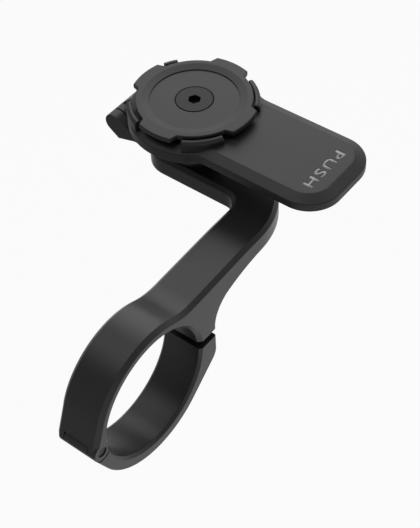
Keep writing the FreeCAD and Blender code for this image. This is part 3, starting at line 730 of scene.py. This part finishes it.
def word_shape(settings):
    """The word as flat faces, as long and as high as asked, reading across the lever near its tip."""
    letters = bpy.data.curves.new("word", "FONT")
    letters.body = settings.word
    letters.size = 1.0
    letters.offset = settings.stroke
    letters.space_character = settings.spacing
    text = bpy.data.objects.new("word", letters)
    bpy.context.scene.collection.objects.link(text)
    bpy.context.view_layer.update()
    mesh = bpy.data.meshes.new_from_object(text.evaluated_get(bpy.context.evaluated_depsgraph_get()))
    bpy.data.objects.remove(text)
    bpy.data.curves.remove(letters)
    xs = [vert.co.x for vert in mesh.vertices]
    ys = [vert.co.y for vert in mesh.vertices]
    middle = Vector(((min(xs) + max(xs)) / 2, (min(ys) + max(ys)) / 2, 0))
    wide = settings.length / (max(xs) - min(xs))
    high = settings.cap_height / (max(ys) - min(ys))
    across = LEVER_HIGH.x - settings.tip_gap - settings.cap_height / 2
    along = (LEVER_LOW.y + LEVER_HIGH.y) / 2 + settings.shift
    place = Matrix.Translation((across, along, LEVER_TOP)) @ Matrix.Rotation(math.radians(-90), 4, "Z")
    mesh.transform(place @ Matrix.Diagonal((wide, high, 1, 1)) @ Matrix.Translation(-middle))
    shape = bmesh.new()
    shape.from_mesh(mesh)
    bpy.data.meshes.remove(mesh)
    bmesh.ops.remove_doubles(shape, verts=shape.verts, dist=LETTER_MERGE)
    return shape


def thickened(shape, bottom, top):
    """Flat faces made solid, from so far below their level to so far above it."""
    bmesh.ops.translate(shape, vec=(0, 0, bottom), verts=shape.verts)
    made = bmesh.ops.extrude_face_region(shape, geom=shape.faces)
    raised = [part for part in made["geom"] if isinstance(part, bmesh.types.BMVert)]
    bmesh.ops.translate(shape, vec=(0, 0, top - bottom), verts=raised)
    bmesh.ops.recalc_face_normals(shape, faces=shape.faces)
    return shape


def loose_object(name, shape):
    """An object from a bmesh, for a boolean cut. It goes when its mesh is removed."""
    mesh = bpy.data.meshes.new(name)
    shape.to_mesh(mesh)
    shape.free()
    loose = bpy.data.objects.new(name, mesh)
    bpy.context.scene.collection.objects.link(loose)
    return loose


def cut_away(shape, tool):
    """What is left of a solid when another is cut from it. The kept normals stay on the old faces."""
    blank = loose_object("blank", shape)
    cutter = loose_object("cutter", tool)
    cut = blank.modifiers.new("cut", "BOOLEAN")
    cut.operation = "DIFFERENCE"
    cut.solver = "EXACT"
    cut.object = cutter
    bpy.context.view_layer.update()
    mesh = bpy.data.meshes.new_from_object(blank.evaluated_get(bpy.context.evaluated_depsgraph_get()))
    left = bmesh.new()
    left.from_mesh(mesh)
    bpy.data.meshes.remove(mesh)
    for loose in (blank, cutter):
        bpy.data.meshes.remove(loose.data)
    return left


class MOUNT_OT_push_lever(bpy.types.Operator):
    """Round and finish the push lever, and engrave and fill the word near its tip"""
    bl_idname = "mount.push_lever"
    bl_label = "Push lever"

    def execute(self, context):
        scene = context.scene
        word = scene.mount_word
        edges = scene.mount_edges
        top = LEVER_TOP + TOP_MARGIN
        lever = rounded_copy("push_lever", (edges.tab_round, reaches_above(top)),
                             (edges.lever_round, stays_below(top)))
        lever = cut_away(lever, thickened(word_shape(word), -word.depth, word.depth))
        dress("push_lever", lever, moulded_plastic("lever_plastic", scene.mount_finish))
        fill = thickened(word_shape(word), -word.depth, -word.fill_gap)
        new_piece("lever_word", fill, "lever", letter_fill(scene.mount_finish))
        return {"FINISHED"}


def looked_at(wire):
    """1 where the camera, a reflection or glass looks, and 0 where light falls."""
    rays = [wire.node("ShaderNodeLightPath", output="Is %s Ray" % ray)
            for ray in ("Camera", "Glossy", "Transmission")]
    return rays[0] + rays[1] + rays[2]


def step(wire, value, start, end):
    """From 0 to 1, smoothly, while a value goes from start to end."""
    return wire.node("ShaderNodeMapRange", {"interpolation_type": "SMOOTHSTEP"},
                     {"Value": value, "From Min": start, "From Max": end})


def studio_tone(wire, direction, settings):
    """The glow that only the camera and reflections see: the studio's white, which turns to pale grey on
    one side, and darker below there and overhead, as painted shade in what the parts reflect.
    """
    side = wire.node("ShaderNodeVectorMath", {"operation": "DOT_PRODUCT"},
                     {0: direction, 1: settings.bright_side}, output="Value")
    height = wire.node("ShaderNodeSeparateXYZ", None, {"Vector": direction}, output="Z")
    dim = mixed(step(wire, height, *SHADE_HEIGHTS), (*settings.shade_color, 1), (*settings.dim_color, 1))
    walls = mixed(step(wire, side, *WHITE_SIDES), dim, (1, 1, 1, 1))
    return mixed(step(wire, height, *CEILING_HEIGHTS), walls, (*settings.ceiling_color, 1))


def floor_finish(settings):
    """Pale floor that keeps shadows and is white where the camera and reflections look at it."""
    material = bpy.data.materials.new("studio_floor")
    material.use_nodes = True
    material.node_tree.nodes.clear()
    wire = Wire(material.node_tree)
    place = wire.node("ShaderNodeTexCoord", output="Object")
    below = wire.node("ShaderNodeVectorMath", {"operation": "SUBTRACT"},
                      {0: place, 1: (0, 0, settings.floor_drop)})
    direction = wire.node("ShaderNodeVectorMath", {"operation": "NORMALIZE"}, {0: below})
    paint = wire.node("ShaderNodeBsdfDiffuse", None, {"Color": (*settings.floor_color, 1)})
    white = studio_tone(wire, direction, settings)
    glow = wire.node("ShaderNodeEmission", None, {"Color": white, "Strength": 1.0})
    share = looked_at(wire) * settings.floor_glow
    mix = wire.node("ShaderNodeMixShader", None, {0: share, 1: paint, 2: glow})
    wire.node("ShaderNodeOutputMaterial", None, {"Surface": mix})
    return material


def room(settings):
    """Dim room whose walls are as white as the floor where the camera and reflections look at them."""
    world = bpy.data.worlds.new("room")
    world.use_nodes = True
    world.node_tree.nodes.clear()
    wire = Wire(world.node_tree)
    direction = wire.node("ShaderNodeTexCoord", output="Generated")
    dim = wire.node("ShaderNodeBackground", None, {"Color": (*settings.world_color, 1), "Strength": 1.0})
    white = studio_tone(wire, direction, settings)
    walls = wire.node("ShaderNodeBackground", None, {"Color": white, "Strength": settings.wall_glow})
    mix = wire.node("ShaderNodeMixShader", None, {0: looked_at(wire), 1: dim, 2: walls})
    wire.node("ShaderNodeOutputWorld", None, {"Surface": mix})
    return world


def softbox(name, settings, direction, size, power):
    """A square area light that faces the camera's target."""
    lamp = bpy.data.lights.new(name, "AREA")
    lamp.shape = "SQUARE"
    lamp.size = size
    lamp.energy = power
    light = bpy.data.objects.new(name, lamp)
    away = Vector(direction).normalized()
    light.location = Vector(settings.camera_target) + away * settings.light_distance
    light.rotation_mode = "QUATERNION"
    light.rotation_quaternion = away.to_track_quat("Z", "Y")
    bpy.context.scene.collection.objects.link(light)


class MOUNT_OT_stage(bpy.types.Operator):
    """Set up the floor, the lights, the room and the camera"""
    bl_idname = "mount.stage"
    bl_label = "Stage"

    def execute(self, context):
        scene = context.scene
        settings = scene.mount_stage
        low, high = CAD_BOX

        shape = bmesh.new()
        bmesh.ops.create_circle(shape, cap_ends=True, segments=FLOOR_SIDES, radius=settings.floor_radius)
        mesh = bpy.data.meshes.new("floor")
        shape.to_mesh(mesh)
        shape.free()
        mesh.materials.append(floor_finish(settings))
        floor = bpy.data.objects.new("floor", mesh)
        floor.location = ((low.x + high.x) / 2, (low.y + high.y) / 2, low.z - settings.floor_drop)
        scene.collection.objects.link(floor)

        scene.world = room(settings)
        softbox("key_light", settings, settings.key_direction, settings.key_size, settings.key_power)
        softbox("top_light", settings, settings.top_direction, settings.top_size, settings.top_power)
        softbox("side_light", settings, settings.side_direction, settings.side_size, settings.side_power)

        lens = bpy.data.cameras.new("camera")
        lens.lens = settings.camera_lens
        camera = bpy.data.objects.new("camera", lens)
        camera.location = settings.camera_place
        camera.rotation_mode = "QUATERNION"
        look = (Vector(settings.camera_target) - camera.location).to_track_quat("-Z", "Y")
        camera.rotation_quaternion = look @ Quaternion((0, 0, 1), settings.camera_roll)
        scene.collection.objects.link(camera)
        scene.camera = camera
        scene.view_settings.view_transform = "Standard"
        return {"FINISHED"}


OPERATORS = (
    MOUNT_OT_machined_parts,
    MOUNT_OT_moulded_parts,
    MOUNT_OT_fasteners,
    MOUNT_OT_return_spring,
    MOUNT_OT_push_lever,
    MOUNT_OT_stage,
)
SETTINGS = {
    "mount_finish": FinishSettings,
    "mount_edges": EdgeSettings,
    "mount_spring": SpringSettings,
    "mount_word": WordSettings,
    "mount_stage": StageSettings,
}


class MOUNT_PT_panel(bpy.types.Panel):
    """Lists the phone mount's steps and settings"""
    bl_idname = "MOUNT_PT_panel"
    bl_label = "Phone Mount"
    bl_space_type = "VIEW_3D"
    bl_region_type = "UI"
    bl_category = "Phone Mount"

    def draw(self, context):
        for operator in OPERATORS:
            self.layout.operator(operator.bl_idname)
        for name, group in SETTINGS.items():
            box = self.layout.box()
            box.label(text=group.__doc__)
            for field in group.__annotations__:
                box.prop(getattr(context.scene, name), field)


def register():
    for group in SETTINGS.values():
        bpy.utils.register_class(group)
    for name, group in SETTINGS.items():
        setattr(bpy.types.Scene, name, PointerProperty(type=group))
    for operator in OPERATORS:
        bpy.utils.register_class(operator)
    bpy.utils.register_class(MOUNT_PT_panel)


def unregister():
    bpy.utils.unregister_class(MOUNT_PT_panel)
    for operator in reversed(OPERATORS):
        bpy.utils.unregister_class(operator)
    for name in SETTINGS:
        delattr(bpy.types.Scene, name)
    for group in reversed(SETTINGS.values()):
        bpy.utils.unregister_class(group)


def main():
    register()
    for operator in OPERATORS:
        group, name = operator.bl_idname.split(".")
        getattr(getattr(bpy.ops, group), name)()


if __name__ == "__main__":
    main()
